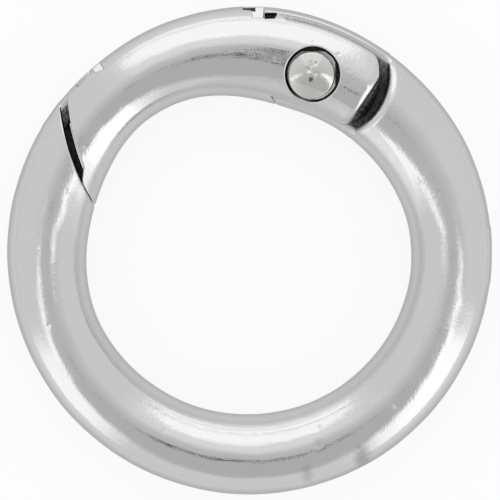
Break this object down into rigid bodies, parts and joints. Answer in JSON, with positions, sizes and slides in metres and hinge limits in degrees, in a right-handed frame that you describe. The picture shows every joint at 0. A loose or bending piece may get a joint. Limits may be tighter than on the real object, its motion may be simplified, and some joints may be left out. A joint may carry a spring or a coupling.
{
  "type": "spring gate ring clasp",
  "caption": "Round ring clasp: a cast ring of round bar whose opening is closed by a sprung gate that swings inwards on a riveted pin.",
  "frame": {"origin": "centre of the ring's outer circle, on the surface that the ring lies on", "axes": "+Z is the ring's axis, pointing up from the surface; +Y points from the centre towards the hinge end of the gate; the gate's nose is towards -X"},
  "size_m": [0.025, 0.0252, 0.0041],
  "materials": {
    "plated_casting": "silver plating over a zinc casting, tumbled bright, softly mirror-like with fine grain",
    "plated_rivet": "silver-plated riveted head, bright, with a punch mark",
    "spring_wire": "drawn spring steel, satin"
  },
  "bodies": {
    "ring": {"ring_body": "plated_casting", "hinge_pin": "plated_rivet", "gate_spring": "spring_wire"},
    "gate": {"gate": "plated_casting"}
  },
  "joints": [
    {"name": "gate_hinge", "type": "hinge", "parent": "ring", "child": "gate", "pos_m": [0.00318, 0.00908, 0.00205], "axis": [0, 0, 1], "range_deg": [0, 25], "stiffness_Nm_per_rad": 0.012, "springref_deg": -45.84, "deforming": ["gate_spring"]}
  ]
}
